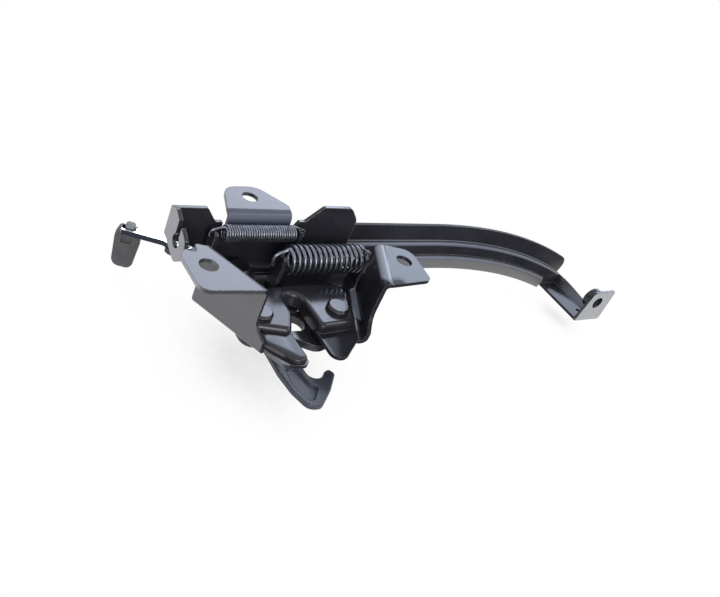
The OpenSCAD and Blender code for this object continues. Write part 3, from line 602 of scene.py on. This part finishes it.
grip_face = rounded([
    (0.8, STRIP_T - GRIP_H, 3.5), (GRIP_L - 0.8, STRIP_T - GRIP_H, 4.5), (GRIP_L + 0.6, -2, 2),
    (GRIP_L - 1, STRIP_T, 1.5), (2, STRIP_T, 1.5), (-0.6, -4, 2)])
grip_cap = rounded([
    (3.4, STRIP_T - 2, 0.3), (GRIP_L - 3.4, STRIP_T - 2, 0.3), (GRIP_L - 3.9, STRIP_T + CAP_H, 1.3),
    (3.9, STRIP_T + CAP_H, 1.3)])
window = rounded([(4, -5.2, 1), (9.4, -5.2, 1), (9.4, -1.2, 1), (4, -1.2, 1)])
BACK, FRONT = -STRIP_W / 2 - 2, STRIP_W / 2 - 0.4
skin = Skin()
moulded(skin, grip_face, BACK, FRONT, [window])
skin.wall(on_grip, window, FRONT, FRONT - WINDOW_DEPTH)
skin.cap(on_grip, window, [], FRONT - WINDOW_DEPTH)
moulded(skin, grip_cap, BACK, CAP_FRONT, [])
skin.piece("handle_grip_formed", plastic, "grip_plastic", "safety_lever", "handle_grip")

# Brace: pressed band with rounded steps and a hanging lip, straight and then curved downwards

BRACE = {"start": 28, "lip": 63, "bend": 119, "top": 23.5, "r": 388, "sweep": 22.4, "lip_end": 19.6, "round": 8}
SHEET = 2
FOLD_R = 1.7
UPPER_Y, LOWER_Y, LIP_Y = 61.2, 58, 54.8


def along_brace(s):
    """Maps a section point (y, drop) to a place: s in mm to the bend, then in degrees past it."""
    if s <= 0:
        return lambda y, z: (BRACE["bend"] + s, y, BRACE["top"] + z)
    a = math.radians(s)
    return lambda y, z: (BRACE["bend"] + (BRACE["r"] + z) * math.sin(a), y,
                         BRACE["top"] - BRACE["r"] + (BRACE["r"] + z) * math.cos(a))


def sheet_section(corners):
    """Closed outline of the sheet along a line of (y, drop, bend radius)."""
    line = rounded(corners, 5)
    left, right = [], []
    for i, p in enumerate(line):
        t = (line[min(i + 1, len(line) - 1)] - line[max(i - 1, 0)]).normalized()
        side = Vector((-t.y, t.x)) * SHEET / 2
        left.append(p + side)
        right.append(p - side)
    return left + right[::-1]


def end_drop(s):
    """How far the rounded end corner has come down at a station."""
    gone = math.radians(BRACE["sweep"] - s) * BRACE["r"] if s > 0 else BRACE["round"]
    return BRACE["round"] - math.sqrt(max(0, BRACE["round"] ** 2 - max(0, BRACE["round"] - gone) ** 2))


def bands(s):
    return sheet_section([(UPPER_Y, -end_drop(s), 0), (UPPER_Y, -12, FOLD_R), (LOWER_Y, -12, FOLD_R),
                          (LOWER_Y, -19.3, 0)])


def lip(s):
    return sheet_section([(LOWER_Y + 1, -20.3, 0), (LIP_Y, -20.3, FOLD_R), (LIP_Y, -27.7, 0)])


def pressed_run(skin, stations, section):
    skin.loft([[along_brace(s)(p.x, p.y) for p in section(s)] for s in stations])
    for s in (stations[0], stations[-1]):
        skin.cap(lambda y, z, _, s=s: along_brace(s)(y, z), section(s), [], 0)


def spread(a, b, count):
    return [a + (b - a) * i / count for i in range(count + 1)]


skin = Skin()
lip_from = BRACE["lip"] - BRACE["bend"]
band_stations = [BRACE["start"] - BRACE["bend"], lip_from, 0] + spread(0.6, 21, 34) + spread(21.15, BRACE["sweep"], 16)
pressed_run(skin, band_stations, bands)
pressed_run(skin, [lip_from, 0] + spread(0.6, BRACE["lip_end"], 30), lip)

# Strap and foot, with a turned-up side that leans out at the foot and stands up where it meets the band

FOOT_X, FOOT_W, FOOT_H, FOOT_HOLE_R = 246.4, 27, 25, 4.5
STRAP_Y, STRAP_Z, STRAP_W, STRAP_END = 17, -25.83, 16, 59
STRAP_HOLE_R = 1.8
SIDE_LEAN, SIDE_REACH, SIDE_TURN_FROM = 27, 7.9, 28
HOLE = (259.906, -10.328)
strap_from = STRAP_Y + 1
strap_right = FOOT_X + STRAP_W
strap = [Vector(p) for p in ((FOOT_X, STRAP_END), (FOOT_X, strap_from), (strap_right, strap_from),
                             (strap_right, STRAP_END))]
skin.plate(flat, strap, [circle(strap_right - 5, STRAP_Y + 8, STRAP_HOLE_R, 20)], STRAP_Z, STRAP_Z + SHEET)


def upturned(lean, reach):
    """Section of the turned-up side, from the strap's corner."""
    along = Vector((math.cos(math.radians(lean)), math.sin(math.radians(lean))))
    tip = Vector((STRAP_W, 0)) + along * reach
    return [Vector((STRAP_W - 0.6, 0)), Vector((STRAP_W, 0)), tip, tip + Vector((-along.y, along.x)) * SHEET * 0.9,
            Vector((STRAP_W - 0.6, SHEET))]


side_run = [(strap_from, upturned(SIDE_LEAN, SIDE_REACH))] + [
    (SIDE_TURN_FROM + (STRAP_END - SIDE_TURN_FROM) * t, upturned(SIDE_LEAN + 52 * t * t, SIDE_REACH + 1.1 * t))
    for t in spread(0, 1, 10)]
skin.loft([[(FOOT_X + p.x, y, STRAP_Z + p.y) for p in ring] for y, ring in side_run])
for y, ring in (side_run[0], side_run[-1]):
    skin.cap(lambda x, z, depth: (FOOT_X + x, depth, STRAP_Z + z), ring, [], y)
tab = [Vector(p) for p in ((FOOT_X, STRAP_Z), (FOOT_X + 14, STRAP_Z), (FOOT_X + 12, -20.5), (FOOT_X - 2, -16.5))]
skin.plate(upright, tab, [], LOWER_Y - 0.95, LOWER_Y + 0.95)
foot = rounded([(0, 0, 0), (FOOT_W, 0, 2), (FOOT_W - 0.4, FOOT_H, 1), (4.5, FOOT_H - 0.8, 3)])
skin.plate(upright, [p + Vector((FOOT_X, STRAP_Z)) for p in foot], [circle(*HOLE, FOOT_HOLE_R)],
           STRAP_Y, STRAP_Y + SHEET)
skin.piece("brace_formed", brace_coat, "black_coat", "base", "brace")

# Weld nut: flange against the foot, round body with chamfered ends

skin = Skin()
skin.lathe(lambda x, z, h: (HOLE[0] + x, STRAP_Y + SHEET + h, HOLE[1] + z), [
    (3.4, 0), (8.2, 0), (8.2, 1.4), (7.4, 1.8), (7.4, 5.1), (6.6, 6), (4.2, 6), (3.4, 5.2), (3.4, 0)])
skin.piece("weld_nut_formed", rivet_coat, "black_coat", "base", "weld_nut")

# Stage: pale floor with a painted shadow under the latch, soft light, white surround

low = cad_box[0]
FLOOR_SIZE, FLOOR_DROP, CARD_DROP = 6, 0.004, 0.002
bpy.ops.mesh.primitive_plane_add(size=FLOOR_SIZE, location=(0.1, 0.2, low.z - FLOOR_DROP))
floor = bpy.context.object
floor.name = "floor"


def white_rays(tree, plain, seen):
    """The seen shader to camera, mirror and glass rays (white, on the floor darkened by a painted shadow), the plain
    shader to all other light.
    """
    rays = node(tree, "ShaderNodeLightPath")
    share = math_node(tree, "MAXIMUM", rays.outputs["Is Camera Ray"], rays.outputs["Is Glossy Ray"])
    share = math_node(tree, "MAXIMUM", share, rays.outputs["Is Transmission Ray"])
    return node(tree, "ShaderNodeMixShader", {0: share, 1: plain, 2: seen}).outputs[0]


floor_mat = bpy.data.materials.new("floor")
floor_mat.use_nodes = True
tree = floor_mat.node_tree
tree.nodes.clear()
# Painted shadow: what the camera sees of the floor is white darkened by ambient occlusion, deepest under the latch.
shade = node(tree, "ShaderNodeAmbientOcclusion", {"Distance": 0.09}, samples=12)
depth = ramp(tree, shade.outputs["AO"], [(0.18, grey(0.05)), (0.4, grey(0.86)), (0.62, grey(1))])
shine = node(tree, "ShaderNodeEmission", {"Color": depth, "Strength": 1.0})
matte = node(tree, "ShaderNodeBsdfDiffuse", {"Color": (0.8, 0.8, 0.8, 1)})
out = node(tree, "ShaderNodeOutputMaterial")
tree.links.new(white_rays(tree, matte.outputs[0], shine.outputs[0]), out.inputs["Surface"])
floor.data.materials.append(floor_mat)

world = bpy.data.worlds.new("surround")
scene.world = world
world.use_nodes = True
tree = world.node_tree
tree.nodes.clear()
white = node(tree, "ShaderNodeBackground", {"Color": (1, 1, 1, 1), "Strength": 1.0})
dim = node(tree, "ShaderNodeBackground", {"Color": (0.92, 0.95, 1.0, 1), "Strength": 0.45})
out = node(tree, "ShaderNodeOutputWorld")
tree.links.new(white_rays(tree, dim.outputs[0], white.outputs[0]), out.inputs["Surface"])

TARGET = Vector((0.03, 0.02, -0.02))


def softbox(name, at, along, size, brightness, colour=(1, 1, 1)):
    """Flat lamp at a place, turned to the latch, with its long side along a direction."""
    data = bpy.data.lights.new(name, "AREA")
    data.shape = "RECTANGLE"
    data.size, data.size_y = size
    data.energy = brightness * math.pi * size[0] * size[1]
    data.color = colour
    obj = bpy.data.objects.new(name, data)
    scene.collection.objects.link(obj)
    z = (Vector(at) - TARGET).normalized()
    x = Vector(along)
    x = (x - z * x.dot(z)).normalized()
    obj.matrix_world = Matrix.Translation(at) @ Matrix((x, z.cross(x), z)).transposed().to_4x4()


softbox("back_softbox", (0.55, 0.93, 0.74), (0.75, -0.29, -0.24), (0.55, 0.5), 5.4, (0.72, 0.8, 1.0))
softbox("side_softbox", (1.08, 0.72, 0.58), (0.75, -0.29, -0.24), (0.75, 0.5), 3.3, (0.62, 0.75, 1.0))
softbox("front_strip", (0.85, -0.55, 0.95), (0.5, 0.5, 0), (0.8, 0.22), 5, (0.92, 0.95, 1.0))
softbox("left_softbox", (-1.2, 0.25, 0.5), (0, 1, 0), (0.7, 0.5), 2.2)
softbox("front_softbox", (-0.3, -1.2, 0.45), (1, 0, 0), (0.9, 0.5), 7.5)


def dark_card(name, corners):
    """Dark card that only the gloss mirrors, as a photographer sets out of view to keep black faces black."""
    mesh = bpy.data.meshes.new(name)
    mesh.from_pydata(corners, [], [tuple(range(len(corners)))])
    obj = bpy.data.objects.new(name, mesh)
    scene.collection.objects.link(obj)
    mat, tree, bsdf = new_material(name)
    bsdf.inputs["Base Color"].default_value = (0.01, 0.01, 0.012, 1)
    bsdf.inputs["Roughness"].default_value = 0.9
    mesh.materials.append(mat)
    obj.visible_camera = False
    obj.visible_diffuse = False
    obj.visible_shadow = False
    obj.visible_transmission = False


ground = low.z - CARD_DROP
dark_card("front_card", [(0.03, -0.6, ground), (0.9, -0.6, ground), (0.9, 0.02, ground), (0.03, 0.0, ground)])

# Camera: the photograph's view, fitted to the drawing

cam_data = bpy.data.cameras.new("camera")
cam = bpy.data.objects.new("camera", cam_data)
scene.collection.objects.link(cam)
scene.camera = cam
right = Vector((0.7914, -0.4903, 0.3651))
up = Vector((0.0446, 0.6420, 0.7654))
back = Vector((-0.6097, -0.5895, 0.5299))
stand = Vector((-0.2166, -0.2465, 0.1970))
cam.matrix_world = Matrix.Translation(stand) @ Matrix((right, up, back)).transposed().to_4x4()
cam_data.lens = 40
cam_data.sensor_width = 36
cam_data.clip_start = 0.01
cam_data.clip_end = 20

scene.view_settings.view_transform = "Standard"
